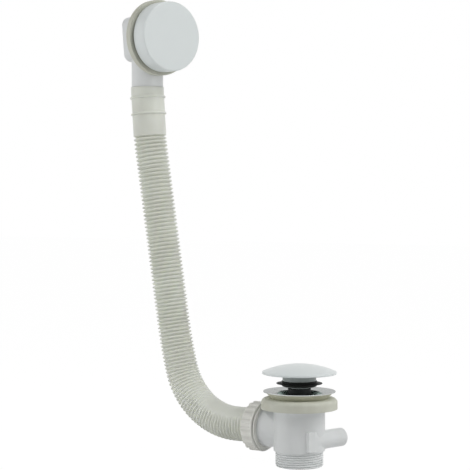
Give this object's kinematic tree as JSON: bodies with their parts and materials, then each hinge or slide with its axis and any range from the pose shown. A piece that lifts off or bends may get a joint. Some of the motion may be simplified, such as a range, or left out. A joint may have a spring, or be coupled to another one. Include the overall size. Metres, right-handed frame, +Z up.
{
  "type": "bath waste and overflow",
  "caption": "Bath waste with a push plug, threaded outlet and drain spigot, joined by a corrugated hose to a round capped overflow.",
  "frame": {"origin": "on the waste's axis, in the plane where the bath's floor is clamped between the two washers", "axes": "+Z up along the waste's axis, -X towards the overflow, +X into the bath"},
  "size_m": [0.2548, 0.0866, 0.4745],
  "materials": {
    "white_gloss": "satin gloss white",
    "white_plastic": "moulded white",
    "hose_plastic": "warm grey moulded",
    "ivory_plastic": "moulded ivory",
    "beige_rubber": "soft beige",
    "black_rubber": "soft black",
    "chrome": "polished",
    "black_plastic": "moulded black",
    "grey_plastic": "moulded pale grey",
    "brass": "turned",
    "steel": "plated"
  },
  "bodies": {
    "waste": {"overflow_cap": "white_gloss", "cap_o_ring": "black_rubber", "overflow_retainer": "white_plastic", "overflow_seal": "beige_rubber", "overflow_elbow": "white_plastic", "overflow_hose": "hose_plastic", "union_nut": "ivory_plastic", "union_friction_ring": "white_plastic", "union_cone_seal": "black_rubber", "waste_body": "white_plastic", "screw_insert": "brass", "fixing_screw": "steel", "body_gasket": "beige_rubber", "flange_gasket": "beige_rubber", "waste_flange": "chrome", "clicker_barrel": "black_plastic", "clicker_latch_ring": "black_plastic", "clicker_spring": "steel"},
    "plug": {"plug_cap": "white_gloss", "plug_carrier": "grey_plastic", "plug_seal": "black_rubber", "clicker_plunger": "grey_plastic"}
  },
  "joints": [
    {"name": "plug_slide", "type": "slide", "parent": "waste", "child": "plug", "axis": [0, 0, 1], "range_m": [-0.009, 0], "stiffness_N_per_m": 300, "springref_m": 0.01, "deforming": ["clicker_spring"]}
  ]
}
